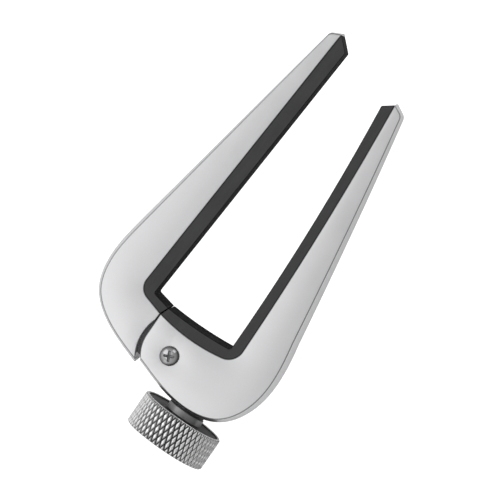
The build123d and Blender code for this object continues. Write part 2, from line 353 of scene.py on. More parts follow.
@dataclass(frozen=True)
class SatinCasting:
    """Die-cast metal, bead-blasted and plated satin, with painted shade along its rolled edges and on its
    flat faces deep inside.
    """

    name: str = "satin_casting"
    colour: Colour = (0.77, 0.77, 0.78)
    worn: Colour = (0.88, 0.88, 0.89)
    painted_shade_colour: Colour = (0.20, 0.20, 0.205)
    roughness: float = 0.36
    grain: float = 0.14 * MM
    grain_depth: float = 0.006 * MM
    cloud: float = 11 * MM
    pit_pitch: float = 2.6 * MM
    pit_share: float = 0.07
    pit_depth: float = 0.6
    rim_shade_share: float = 0.75

    def make(self) -> bpy.types.Material:
        """The finished material."""
        sheet = MaterialSheet(self.name, {"Metallic": 1.0})
        place = sheet.place()
        cloud = sheet.noise(place, self.cloud, 3.0)
        grain = sheet.noise(place, self.grain, 2.0)
        rim = sheet.mark(Mark.ROLLED)
        inner = sheet.mark(Mark.INNER)
        pits = sheet.specks(place, self.pit_pitch, self.pit_share)
        tone = (0.35 + 0.5 * (cloud - 0.5) + 0.25 * (grain - 0.5)).clamped()
        satin_tone = sheet.blend(tone, self.colour, self.worn)
        # Painted shade: the rolled edges take a dark line, and the flat faces deep inside the piece, such
        # as the tongue in the seam, go dark.
        painted_shade_mask = (self.rim_shade_share * rim).larger(inner)
        rough = self.roughness + 0.10 * (cloud - 0.5) + 0.08 * (grain - 0.5) + 0.25 * inner
        return sheet.feed(
            Base_Color=sheet.blend((painted_shade_mask + 0.12 * (cloud - 0.5)).clamped(), satin_tone, self.painted_shade_colour),
            Roughness=rough,
            Normal=sheet.bump(grain - self.pit_depth * pits, self.grain_depth),
        )


@dataclass(frozen=True)
class MouldedRubber:
    """Black moulded rubber: a fine spark-eroded skin with dusty clouds on its flat faces, and painted
    shade that turns its side faces, the walls in the mouth, near black.
    """

    name: str = "moulded_rubber"
    # deep is the painted shade colour that the side faces take.
    deep: Colour = (0.005, 0.005, 0.0052)
    colour: Colour = (0.059, 0.059, 0.060)
    dusty: Colour = (0.110, 0.110, 0.112)
    roughness: float = 0.60
    gloss: float = 0.03
    cloud: float = 7 * MM
    flow: float = 0.9 * MM
    flow_stretch: Colour = (1.0, 0.12, 1.0)
    grain: float = 0.22 * MM
    grain_depth: float = 0.018 * MM

    def make(self) -> bpy.types.Material:
        """The finished material."""
        sheet = MaterialSheet(self.name, {"Specular IOR Level": self.gloss})
        place = sheet.place()
        cloud = sheet.noise(place, self.cloud, 3.0)
        grain = sheet.noise(place, self.grain, 3.0)
        flow = sheet.noise(sheet.stretched(place, self.flow_stretch), self.flow, 2.0)
        tone = (0.5 * cloud + 0.5 * (grain - 0.5) + 0.3 * (flow - 0.5)).clamped()
        # Painted shade: the side faces take the deep colour, darker than the flat faces only because less
        # light reaches them.
        side = (0.94 * sheet.mark(Mark.SIDE) + 0.2 * (cloud - 0.5)).clamped()
        return sheet.feed(
            Base_Color=sheet.blend(side, sheet.blend(tone, self.colour, self.dusty), self.deep),
            Roughness=self.roughness + 0.14 * (cloud - 0.5) + 0.10 * (grain - 0.5),
            Normal=sheet.bump(0.7 * grain + 0.3 * flow, self.grain_depth),
        )


@dataclass(frozen=True)
class TurnedMetal:
    """Metal turned on a lathe: fine rings about its axis, and a little staining."""

    name: str
    colour: Colour
    stain: Colour
    axis: Turning
    centre: Point2
    roughness: float = 0.28
    mark_pitch: float = 0.09 * MM
    mark_depth: float = 0.004 * MM
    cloud: float = 2.2 * MM

    def make(self) -> bpy.types.Material:
        """The finished material."""
        sheet = MaterialSheet(self.name, {"Metallic": 1.0})
        place = sheet.place()
        across, over, along = self.axis.value
        parts = sheet.apart(place)
        side = parts[across] - self.centre[0]
        rise = parts[over] - self.centre[1]
        radius = (side * side + rise * rise).root()
        rings = sheet.noise(sheet.together(radius, parts[along], 0.0), self.mark_pitch, 2.0)
        cloud = sheet.noise(place, self.cloud, 3.0)
        tone = (cloud.step(0.45, 0.75) * 0.7 + 0.3 * (rings - 0.5)).clamped()
        return sheet.feed(
            Base_Color=sheet.blend(tone, self.colour, self.stain),
            Roughness=self.roughness + 0.14 * (rings - 0.5) + 0.10 * (cloud - 0.5),
            Normal=sheet.bump(rings, self.mark_depth),
        )


@dataclass(frozen=True)
class PlatedKnurl:
    """Bright plate over a knurled wheel, with painted shade in the knurl's grooves, in the recesses and on
    the neck.
    """

    name: str
    centre: Point2
    crest: float
    depth: float
    neck: float
    lip: float
    band: Point2
    bright: Colour = (0.97, 0.97, 0.97)
    dark: Colour = (0.05, 0.05, 0.052)
    soft: float = 0.12 * MM
    neck_shade: float = 0.75
    valley_curve: float = 0.8
    cloud: float = 1.6 * MM
    fine: float = 0.08 * MM
    fine_depth: float = 0.002 * MM

    def make(self) -> bpy.types.Material:
        """The finished material."""
        sheet = MaterialSheet(self.name, {"Metallic": 1.0})
        place = sheet.place()
        parts = sheet.apart(place)
        side = parts["X"] - self.centre[0]
        rise = parts["Z"] - self.centre[1]
        radius = (side * side + rise * rise).root()
        soft = self.soft
        floor = radius.step(self.neck + soft, self.neck + 2 * soft)
        # Painted shade: the recesses inside the lip go dark, and the neck goes most of the way dark.
        recess = radius.step(self.lip, self.lip - soft) * (self.neck_shade + (1 - self.neck_shade) * floor)
        low, high = self.band
        in_band = parts["Y"].step(low, low + 2 * soft) * parts["Y"].step(high, high - 2 * soft)
        # Painted shade in the knurl's grooves, darker the further below the crest.
        valley = ((self.crest - radius) / self.depth).clamped() ** self.valley_curve
        cloud = sheet.noise(place, self.cloud, 3.0)
        fine = sheet.noise(place, self.fine, 2.0)
        shade = recess.larger(valley * in_band)
        tone = (shade + 0.14 * (cloud - 0.5) + 0.06 * (fine - 0.5)).clamped()
        return sheet.feed(
            Base_Color=sheet.blend(tone, self.bright, self.dark),
            Roughness=0.26 + 0.16 * shade + 0.08 * (cloud - 0.5),
            Normal=sheet.bump(fine, self.fine_depth),
        )


@dataclass(frozen=True)
class BrightPlate:
    """Bright plated steel with faint polishing swirls, and painted shade on all that lies below its top.
    """

    name: str
    top: float
    depth: float
    bright: Colour = (0.50, 0.50, 0.51)
    dark: Colour = (0.05, 0.05, 0.05)
    cloud: float = 0.9 * MM
    swirl: float = 0.25 * MM
    swirl_stretch: Colour = (1.0, 4.0, 1.0)
    swirl_depth: float = 0.0015 * MM

    def make(self) -> bpy.types.Material:
        """The finished material."""
        sheet = MaterialSheet(self.name, {"Metallic": 1.0})
        place = sheet.place()
        # Painted shade: darker the further below the crown, on the dome's lower ring and down in the cross
        # recess.
        deep = sheet.apart(place)["Z"].step(self.top, self.top - self.depth)
        cloud = sheet.noise(place, self.cloud, 3.0)
        swirl = sheet.noise(sheet.stretched(place, self.swirl_stretch), self.swirl, 3.0)
        tone = (0.75 * deep + 0.25 * (cloud - 0.5)).clamped()
        return sheet.feed(
            Base_Color=sheet.blend(tone, self.bright, self.dark),
            Roughness=0.08 + 0.10 * swirl * cloud + 0.1 * deep,
            Normal=sheet.bump(swirl, self.swirl_depth),
        )


@dataclass(frozen=True)
class Nylon:
    """Black nylon: slightly waxy, with faint turning clouds."""

    name: str = "black_nylon"
    colour: Colour = (0.030, 0.030, 0.032)
    shade: Colour = (0.014, 0.014, 0.015)
    gloss: float = 0.4
    cloud: float = 1.8 * MM
    grain: float = 0.12 * MM
    grain_depth: float = 0.006 * MM

    def make(self) -> bpy.types.Material:
        """The finished material."""
        sheet = MaterialSheet(self.name, {"Specular IOR Level": self.gloss})
        place = sheet.place()
        cloud = sheet.noise(place, self.cloud, 3.0)
        grain = sheet.noise(place, self.grain, 2.0)
        return sheet.feed(
            Base_Color=sheet.blend(cloud.step(0.35, 0.75), self.colour, self.shade),
            Roughness=0.42 + 0.12 * (grain - 0.5),
            Normal=sheet.bump(grain, self.grain_depth),
        )


Finish = Union[SatinCasting, MouldedRubber, TurnedMetal, PlatedKnurl, BrightPlate, Nylon]


# ---------------------------------------------------------------------------------------------
# Mesh work
# ---------------------------------------------------------------------------------------------


def place_piece(name: str, mesh: bpy.types.Mesh, body: Body, slot: Slot, material: bpy.types.Material,
                *stands_for: str) -> bpy.types.Object:
    """Puts a finished mesh in the scene as one named piece.

    Args:
        name: The piece's name.
        mesh: Its mesh, in the frame's coordinates.
        body: The body that it rides on.
        slot: The record's slot for its finish; not used.
        material: Its material.
        stands_for: The CAD nodes that it is shown instead of.

    Returns:
        The piece.
    """
    piece = bpy.data.objects.new(name, mesh)
    bpy.context.scene.collection.objects.link(piece)
    mesh.materials.clear()
    mesh.materials.append(material)
    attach(piece, body.value)
    if stands_for:
        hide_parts(*stands_for)
    log.info("%s: %d faces, on %s", name, len(mesh.polygons), body.value)
    return piece


def shade_by_angle(piece: bpy.types.Object, degrees: float) -> None:
    """Shades a piece smoothly, apart from edges sharper than an angle.

    Args:
        piece: The piece.
        degrees: The angle between faces from which an edge stays sharp.
    """
    mesh = piece.data
    if mesh.has_custom_normals:
        with bpy.context.temp_override(object=piece, active_object=piece, selected_objects=[piece]):
            bpy.ops.mesh.customdata_custom_splitnormals_clear()
    mesh.polygons.foreach_set("use_smooth", np.ones(len(mesh.polygons), bool))
    mesh.set_sharp_from_angle(angle=math.radians(degrees))
    weighted = piece.modifiers.new("weighted_normals", "WEIGHTED_NORMAL")
    weighted.keep_sharp = True
    weighted.weight = 80


def turned_mesh(name: str, radii: np.ndarray, heights: np.ndarray, to_frame: Callable[..., np.ndarray],
                bored: bool) -> bpy.types.Mesh:
    """A mesh from rings about an axis.

    Args:
        name: The mesh's name.
        radii: One radius for each ring and step round it.
        heights: One height along the axis for each ring and step round it.
        to_frame: Turns radius, angle and height arrays into points of the frame.
        bored: Whether the last ring joins the first; otherwise both ends close on the axis.

    Returns:
        The closed mesh.
    """
    rings, steps = radii.shape
    angles = np.broadcast_to(np.arange(steps) * TURN / steps, radii.shape)
    points = to_frame(radii, angles, heights).reshape(-1, 3)
    ring = np.arange(rings if bored else rings - 1)[:, None]
    step = np.arange(steps)[None, :]
    after = (ring + 1) % rings
    beside = (step + 1) % steps
    corners = np.stack([a * steps + b for a, b in
                        ((ring, step), (ring, beside), (after, beside), (after, step))], axis=-1)
    faces = corners.reshape(-1, 4).tolist()
    points = points.tolist()
    if not bored:
        for first, along in ((0, heights[0].mean()), ((rings - 1) * steps, heights[-1].mean())):
            pole = len(points)
            points.append(to_frame(np.zeros(1), np.zeros(1), np.array([along]))[0].tolist())
            faces += [[first + k, first + (k + 1) % steps, pole] for k in range(steps)]
    mesh = bpy.data.meshes.new(name)
    mesh.from_pydata(points, [], faces)
    work = bmesh.new()
    work.from_mesh(mesh)
    bmesh.ops.recalc_face_normals(work, faces=work.faces)
    work.to_mesh(mesh)
    work.free()
    return mesh


def softened(corners: Sequence[Point2], radius: float, steps: int = 3, most: float = 0.45) -> List[Point2]:
    """An outline with each corner rolled over.

    Args:
        corners: The outline's corners; its first and last points are kept.
        radius: How far from a corner its curve starts.
        steps: How many runs each curve has.
        most: The largest share of a side that one curve takes.

    Returns:
        The rounded outline.
    """
    rounded = [corners[0]]
    for before, corner, after in zip(corners, corners[1:], corners[2:]):
        here = Vector(corner)
        ends = []
        for other in (before, after):
            run = Vector(other) - here
            ends.append(here + run * min(radius / run.length, most))
        for index in range(steps + 1):
            t = index / steps
            point = ends[0] * (1 - t) ** 2 + here * 2 * t * (1 - t) + ends[1] * t * t
            rounded.append((point.x, point.y))
    rounded.append(corners[-1])
    return rounded


def thread_dip(angles: np.ndarray, heights: np.ndarray, pitch: float, flat: float = 0.15) -> np.ndarray:
    """How far a screw thread lies below its crest, from 0 to 1.

    Args:
        angles: Angles about the axis.
        heights: Heights along it.
        pitch: The thread's pitch.
        flat: The share of each flank that the flat crest and the flat root each take.

    Returns:
        0 on the crest and 1 in the root, with both a little flat.
    """
    phase = heights / pitch + angles / TURN
    ramp = np.abs(2 * (phase - np.floor(phase)) - 1)
    return np.clip((1 + 2 * flat) * ramp - flat, 0.0, 1.0)


# ---------------------------------------------------------------------------------------------
# Arms and pads
# ---------------------------------------------------------------------------------------------


@dataclass
class RolledPart:
    """A piece made from a CAD solid, with its hard edges rolled over as casting leaves them."""

    node: str
    name: str
    body: Body
    slot: Slot
    roll: float
    weld: float = 0.002 * MM
    flat_enough: float = 0.4
    edge_angle: float = 32.0
    inner_depth: float = 1.5 * MM
    flat_normal: float = 0.9
    side_normal: float = 0.8
    shade_angle: float = 35.0
    free_outline: bool = False

    def build(self, material: bpy.types.Material) -> bpy.types.Object:
        """Builds, shades and places the piece.

        Args:
            material: Its material.

        Returns:
            The piece.
        """
        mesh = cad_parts[self.node].data.copy()
        work = bmesh.new()
        work.from_mesh(mesh)
        bmesh.ops.remove_doubles(work, verts=work.verts, dist=self.weld)
        bmesh.ops.dissolve_limit(work, angle_limit=math.radians(self.flat_enough),
                                 verts=work.verts, edges=work.edges, delimit=set())
        work.normal_update()
        self._roll_edges(work)
        self._mark_faces(work)
        self.shape(work)
        work.to_mesh(mesh)
        work.free()
        piece = place_piece(self.name, mesh, self.body, self.slot, material, self.node)
        shade_by_angle(piece, self.shade_angle)
        return piece

    def _roll_edges(self, work: bmesh.types.BMesh) -> None:
        """Rolls over each edge sharper than the set angle and marks the new faces.

        The outlines of the flat faces may be rolled first, at their full width. The other edges
        are held back where pieces of mesh are small, and nothing leaves the solid's box.
        """
        layer = work.faces.layers.float.new(Mark.ROLLED.value)
        low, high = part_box(self.node)
        limit = math.radians(self.edge_angle)
        for free in (True, False):
            sharp = [e for e in work.edges if e.is_manifold and e.calc_face_angle(0.0) > limit
                     and not any(face[layer] for face in e.link_faces)
                     and free == (self.free_outline and self._on_outline(e, (low.z, high.z)))]
            made = bmesh.ops.bevel(work, geom=sharp, offset=self.roll, offset_type="OFFSET", segments=3,
                                   profile=0.5, affect="EDGES", clamp_overlap=not free, miter_outer="ARC")
            for face in made["faces"]:
                face[layer] = 1.0
        for vert in work.verts:
            vert.co = [min(max(at, least), most) for at, least, most in zip(vert.co, low, high)]

    @staticmethod
    def _on_outline(edge: bmesh.types.BMEdge, levels: Sequence[float]) -> bool:
        """Whether an edge lies round one of the piece's two flat faces."""
        flats = [abs(face.normal.z) > LEVEL_NORMAL for face in edge.link_faces]
        close = any(all(abs(v.co.z - level) < TOUCHING for v in edge.verts) for level in levels)
        return close and len(flats) == 2 and flats[0] != flats[1]

    def _mark_faces(self, work: bmesh.types.BMesh) -> None:
        """Marks the faces that look sideways, and the flat ones that lie inside the piece."""
        side = work.faces.layers.float.new(Mark.SIDE.value)
        inner = work.faces.layers.float.new(Mark.INNER.value)
        low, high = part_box(self.node)
        for face in work.faces:
            height = face.calc_center_median().z
            flat = abs(face.normal.z) > self.flat_normal
            deep = min(height - low.z, high.z - height) > self.inner_depth
            # These marks carry painted shade: the rubber darkens its side faces, and the casting darkens
            # its inner faces.
            face[side] = float(abs(face.normal.z) < self.side_normal)
            face[inner] = float(flat and deep)

    def shape(self, work: bmesh.types.BMesh) -> None:
        """Leaves the solid as it is; an arm crowns its faces here."""


@dataclass
class ArmCasting(RolledPart):
    """An arm: its flat faces fall away gently towards their edges, as polishing leaves them."""

    free_outline: bool = True
    cell: float = 2.0 * MM
    cut_shift: float = 0.013 * MM
    fall_slope: float = 0.09
    fall_heel: float = 5.5 * MM
    fall_tip: float = 1.6 * MM
    tip_round: float = 1.1 * MM
    tip_drop: float = 0.5 * MM
    tip_cuts: int = 4
    upright: float = 0.1
    end_normal: float = 0.7
    samples: int = 3
    skin: float = 0.5 * MM

    def shape(self, work: bmesh.types.BMesh) -> None:
        """Cuts the faces into small cells and lets them fall towards their outlines."""
        low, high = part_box(self.node)
        tip_at, tip_out = self._tip(work, high.y)
        for axis in (0, 1):
            normal = Vector((axis == 0, axis == 1, 0))
            count = int((high[axis] - low[axis]) / self.cell)
            for index in range(1, count):
                self._cut(work, low + normal * (index * self.cell + self.cut_shift), normal)
        for index in range(1, self.tip_cuts + 1):
            self._cut(work, tip_at - tip_out * (index * self.tip_round / self.tip_cuts), tip_out)
        for level, down in ((high.z, -1.0), (low.z, 1.0)):
            self._fall(work, level, down, low, high)
            self._round_tip(work, level, down, tip_at, tip_out)

    @staticmethod
    def _cut(work: bmesh.types.BMesh, point: Vector, normal: Vector) -> None:
        """Cuts every face that a plane crosses."""
        everything = work.verts[:] + work.edges[:] + work.faces[:]
        bmesh.ops.bisect_plane(work, geom=everything, plane_co=point, plane_no=normal, dist=ON_PLANE)

    def _tip(self, work: bmesh.types.BMesh, top: float) -> Tuple[Vector, Vector]:
        """The middle of the arm's end face and the direction that it looks in."""
        ends = [face for face in work.faces
                if abs(face.normal.z) < self.upright and face.normal.y > self.end_normal
                and face.calc_center_median().y > top - 2 * self.tip_round]
        end = max(ends, key=lambda face: face.calc_area())
        return end.calc_center_median(), end.normal.copy()

    def _round_tip(self, work: bmesh.types.BMesh, level: float, down: float, tip_at: Vector,
                   tip_out: Vector) -> None:
        """Rounds one flat face over at the arm's tip.

        Args:
            work: The arm's mesh.
            level: The face's height.
            down: The direction into the arm, 1 or -1.
            tip_at: A point of the end face.
            tip_out: The direction that the end face looks in.
        """
        for vert in work.verts:
            share = 1 + (vert.co - tip_at).dot(tip_out) / self.tip_round
            if share > 0 and abs(vert.co.z - level) < self.skin:
                vert.co.z += down * self.tip_drop * share * share

    def _fall(self, work: bmesh.types.BMesh, level: float, down: float, low: Vector, high: Vector) -> None:
        """Lets one flat face fall towards its outline.

        Args:
            work: The arm's mesh.
            level: The face's height.
            down: The direction into the arm, 1 or -1.
            low: The arm's lowest corner.
            high: The arm's highest corner.
        """
        rim = [e for e in work.edges if self._on_outline(e, [level])]
        tree = KDTree(len(rim) * self.samples)
        for index, edge in enumerate(rim):
            first, second = (v.co for v in edge.verts)
            for sample in range(self.samples):
                point = first.lerp(second, (sample + 0.5) / self.samples)
                tree.insert((point.x, point.y, 0.0), index * self.samples + sample)
        tree.balance()
        for vert in work.verts:
            if abs(vert.co.z - level) > self.skin:
                continue
            up_arm = (vert.co.y - low.y) / (high.y - low.y)
            width = self.fall_heel + (self.fall_tip - self.fall_heel) * up_arm
            _, _, distance = tree.find((vert.co.x, vert.co.y, 0.0))
            share = max(0.0, 1 - distance / width)
            vert.co.z += down * self.fall_slope * width / 2 * share * share


# ---------------------------------------------------------------------------------------------
# Pivot screw
# ---------------------------------------------------------------------------------------------


@dataclass
class PivotScrew:
    """The dome-headed screw on the pivot, with a pressed cross recess and a threaded shank."""

    node: str = "pivot_screw"
    steps: int = 144
    head_rings: int = 34
    recess_depth: float = 0.95 * MM
    bright_depth: float = 0.25 * MM
    dark_depth: float = 0.7 * MM
    wing_reach: float = 1.30 * MM
    wing_half: float = 0.26 * MM
    wing_soft: float = 0.16 * MM
    wing_rise: float = 0.45
    turned_by: float = math.radians(25.0)
    pitch: float = 0.5 * MM
    thread_depth: float = 0.3 * MM
    rows_per_turn: int = 7
    shank_radius: float = 1.5 * MM
    nose: float = 0.4 * MM
    lip: float = 0.15 * MM
    rim_drop: float = 0.03 * MM
    rim_soft: float = 0.04 * MM
    pole_share: float = 0.06
    shade_angle: float = 50.0

    def __post_init__(self) -> None:
        """Reads the screw's place from the frame."""
        low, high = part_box(self.node)
        self.centre = ((low.x + high.x) / 2, (low.y + high.y) / 2)
        self.radius = (high.x - low.x) / 2
        self.foot = low.z
        self.crown = high.z
        self.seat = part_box("neck_arm")[1].z

    def _to_frame(self, radii: np.ndarray, angles: np.ndarray, heights: np.ndarray) -> np.ndarray:
        """Points of the frame about the pivot's axis."""
        heights = np.broadcast_to(heights, radii.shape)
        x = self.centre[0] + radii * np.cos(angles)
        y = self.centre[1] + radii * np.sin(angles)
        return np.stack([x, y, heights], axis=-1)

    def _recess(self, radii: np.ndarray, angles: np.ndarray) -> np.ndarray:
        """The cross recess's depth under each point of the dome."""
        x = radii * np.cos(angles - self.turned_by)
        y = radii * np.sin(angles - self.turned_by)
        depth = np.zeros_like(radii)
        for along, across in ((np.abs(x), np.abs(y)), (np.abs(y), np.abs(x))):
            inside = np.clip((self.wing_half - across) / self.wing_soft + 0.5, 0, 1)
            reach = np.clip((self.wing_reach - along) / (2 * self.wing_soft) + 0.5, 0, 1)
            slope = 1 - self.wing_rise * along / self.wing_reach
            wing = inside * inside * (3 - 2 * inside) * reach * reach * (3 - 2 * reach)
            depth = np.maximum(depth, self.recess_depth * slope * wing)
        return depth

    def build(self, material: bpy.types.Material) -> bpy.types.Object:
        """Builds and places the screw.

        Args:
            material: Its material.

        Returns:
            The piece.
        """
        rise = self.crown - self.seat - self.lip
        ball = (self.radius ** 2 + rise ** 2) / (2 * rise)
        dome = np.linspace(self.pole_share, 1.0, self.head_rings) * (self.radius - self.rim_drop)
        under = softened([(dome[-1], 0.0), (self.radius, -self.rim_drop), (self.radius, -self.lip),
                          (self.shank_radius, -self.lip)], self.rim_soft)
        seat = self.seat + self.lip
        shank = np.arange(self.seat - END_GAP, self.foot, -self.pitch / self.rows_per_turn)
        ring_radii = list(dome) + [r for r, _ in under[1:]] + [self.shank_radius] * len(shank)
        ring_heights = ([seat + math.sqrt(ball ** 2 - r ** 2) - (ball - rise) for r in dome]
                        + [seat + h for _, h in under[1:]] + list(shank))
        angles = np.arange(self.steps) * TURN / self.steps
        radii = np.repeat(np.array(ring_radii)[:, None], self.steps, axis=1)
        heights = np.repeat(np.array(ring_heights)[:, None], self.steps, axis=1)
        spread = np.broadcast_to(angles, radii.shape)
        heights[:len(dome)] -= self._recess(radii[:len(dome)], spread[:len(dome)])
        first = len(ring_radii) - len(shank)
        radii[first:] -= self.thread_depth * thread_dip(spread[first:], heights[first:], self.pitch)
        taper = 1 - np.clip((heights[first:] - self.foot) / self.nose, 0, 1)
        radii[first:] = np.minimum(radii[first:], self.shank_radius - self.nose * taper)
        mesh = turned_mesh("pivot_screw_mesh", radii, heights, self._to_frame, bored=False)
        piece = place_piece("domed_pivot_screw", mesh, Body.NECK, Slot.BRIGHT_STEEL, material, self.node)
        shade_by_angle(piece, self.shade_angle)
        return piece

    def finish(self) -> BrightPlate:
        """Bright plate, with painted shade below the crown, on the dome's lower ring and down in the
        recess.
        """
        return BrightPlate("pivot_screw_plate", self.crown - self.bright_depth, self.dark_depth)


# ---------------------------------------------------------------------------------------------
# Thumbscrew
# ---------------------------------------------------------------------------------------------


@dataclass
class Thumbscrew:
    """The knurled wheel, its plain neck and the threaded stud fixed in it."""

    knob_node: str = "thumb_knob"
    stud_node: str = "screw_stud"
    lozenges: int = 54
    cell: int = 10
    row_pitch: float = 3.7 * MM
    knurl_depth: float = 0.42 * MM
    crest_gain: float = 1.7
    neck_radius: float = 4.95 * MM
    neck_rise: float = 1.55 * MM
    top_recess: float = 0.4 * MM
    top_lip: float = 10.25 * MM
    foot_recess: float = 0.5 * MM
    foot_lip: float = 9.55 * MM
    chamfer: float = 0.35 * MM
    bore: float = 2.02 * MM
    roll: float = 0.12 * MM
    thread_pitch: float = 0.7 * MM
    thread_depth: float = 0.38 * MM
    thread_rows: int = 10
    stud_steps: int = 40
    stud_nose: float = 0.5 * MM
    clip_width: float = 0.5 * MM
    clip_groove: float = 1.5 * MM
    joint_rise: float = 1.0 * MM
    valley_slack: float = 0.05 * MM
    crest_curve: float = 1.5
    knob_shade_angle: float = 38.0
    stud_shade_angle: float = 45.0

    def __post_init__(self) -> None:
        """Reads the thumbscrew's place from the frame."""
        low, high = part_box(self.knob_node)
        self.centre = ((low.x + high.x) / 2, (low.z + high.z) / 2)
        self.radius = (high.x - low.x) / 2
        self.foot = low.y
        self.neck_top = high.y
        self.top = high.y - self.neck_rise

    def _to_frame(self, radii: np.ndarray, angles: np.ndarray, heights: np.ndarray) -> np.ndarray:
        """Points of the frame about the stud's axis."""
        heights = np.broadcast_to(heights, radii.shape)
        x = self.centre[0] + radii * np.cos(angles)
        z = self.centre[1] + radii * np.sin(angles)
        return np.stack([x, heights, z], axis=-1)

    def _knurl(self, angles: np.ndarray, heights: np.ndarray) -> np.ndarray:
        """The knurl's height, from 0 in the crossing grooves to 1 on each lozenge's crest."""
        u = angles * self.lozenges / TURN
        v = (heights - self.foot) / self.row_pitch
        ramps = [np.abs(2 * (t - np.floor(t)) - 1) for t in (u + v, u - v)]
        ridge = np.minimum(*ramps)
        return 1 - (1 - np.clip(ridge * self.crest_gain, 0, 1)) ** self.crest_curve

    def knob(self, material: bpy.types.Material) -> bpy.types.Object:
        """Builds and places the knurled wheel with its neck.

        Args:
            material: Its material.

        Returns:
            The piece.
        """
        shoulder = self.radius - self.chamfer
        floor = self.top - self.top_recess
        cup = self.foot + self.foot_recess
        joint = (self.bore, cup + self.joint_rise)
        upper = softened([joint, (self.bore, self.neck_top), (self.neck_radius, self.neck_top),
                          (self.neck_radius, floor), (self.top_lip, floor), (self.top_lip, self.top),
                          (shoulder, self.top)], self.roll)
        lower = softened([(shoulder, self.foot), (self.foot_lip, self.foot), (self.foot_lip, cup),
                          (self.bore, cup), joint], self.roll)
        row = self.row_pitch / self.cell
        count = int((self.top - self.foot) / row)
        rows = self.foot + row * np.arange(count, 0, -1)
        rows = rows[(rows < self.top - END_GAP) & (rows > self.foot + END_GAP)]
        steps = self.lozenges * self.cell
        angles = np.arange(steps) * TURN / steps
        band_angles, band_heights = np.meshgrid(angles, rows)
        crest = self.radius - self.knurl_depth * (1 - self._knurl(band_angles, band_heights))
        to_end = np.minimum(self.top - band_heights, band_heights - self.foot)
        rim = shoulder + np.clip(to_end, 0, self.chamfer)
        band = np.minimum(crest, rim)
        plain = [np.tile([[r]], (1, steps)) for r, _ in upper]
        radii = np.concatenate(plain + [band] + [np.tile([[r]], (1, steps)) for r, _ in lower[:-1]])
        ring_heights = [h for _, h in upper] + list(rows) + [h for _, h in lower[:-1]]
        heights = np.repeat(np.array(ring_heights)[:, None], steps, axis=1)
        mesh = turned_mesh("thumb_knob_mesh", radii, heights, self._to_frame, bored=True)
        self._split_valleys(mesh)
        piece = place_piece("knurled_thumb_knob", mesh, Body.SCREW, Slot.BRIGHT_STEEL, material,
                            self.knob_node)
        shade_by_angle(piece, self.knob_shade_angle)
        return piece

    def _split_valleys(self, mesh: bpy.types.Mesh) -> None:
        """Splits the knurl's cells along its grooves, so that the grooves run straight."""
        work = bmesh.new()
        work.from_mesh(mesh)
        low_ring = self.radius - self.knurl_depth - self.valley_slack
        cells = []
        for face in work.faces:
            reach = [math.hypot(v.co.x - self.centre[0], v.co.z - self.centre[1]) for v in face.verts]
            if len(reach) == 4 and min(reach) > low_ring and max(reach) - min(reach) > LEVEL_REACH:
                cells.append((face, reach))
        for face, reach in cells:
            verts = list(face.verts)
            first = 0 if reach[0] + reach[2] < reach[1] + reach[3] else 1
            bmesh.utils.face_split(face, verts[first], verts[first + 2])
        work.to_mesh(mesh)
        work.free()

    def stud(self, material: bpy.types.Material) -> bpy.types.Object:
        """Builds and places the threaded stud.

        Args:
            material: Its material.

        Returns:
            The piece.
        """
        low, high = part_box(self.stud_node)
        clip_low, clip_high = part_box("stud_clip")
        crest = (high.x - low.x) / 2
        rows = np.arange(low.y, high.y, self.thread_pitch / self.thread_rows)
        angles, heights = np.meshgrid(np.arange(self.stud_steps) * TURN / self.stud_steps, rows)
        radii = crest - self.thread_depth * thread_dip(angles, heights, self.thread_pitch)
        to_end = np.minimum(heights - low.y, high.y - heights)
        radii = np.minimum(radii, crest - self.stud_nose + np.clip(to_end, 0, self.stud_nose))
        clip_at = (clip_low.y + clip_high.y) / 2
        in_groove = np.abs(heights - clip_at) < self.clip_width / 2
        radii = np.where(in_groove, np.minimum(radii, self.clip_groove), radii)
        mesh = turned_mesh("stud_mesh", radii, heights, self._to_frame, bored=False)
        piece = place_piece("threaded_stud", mesh, Body.SCREW, Slot.PLAIN_STEEL, material, self.stud_node)
        shade_by_angle(piece, self.stud_shade_angle)
        return piece

    def knob_finish(self) -> PlatedKnurl:
        """Bright plate, with painted shade in the knurl's grooves, the recesses and on the neck."""
        return PlatedKnurl("knurl_plate", self.centre, self.radius, self.knurl_depth, self.neck_radius,
                           self.top_lip, (self.foot, self.top))


# ---------------------------------------------------------------------------------------------
# Hidden hardware
# ---------------------------------------------------------------------------------------------


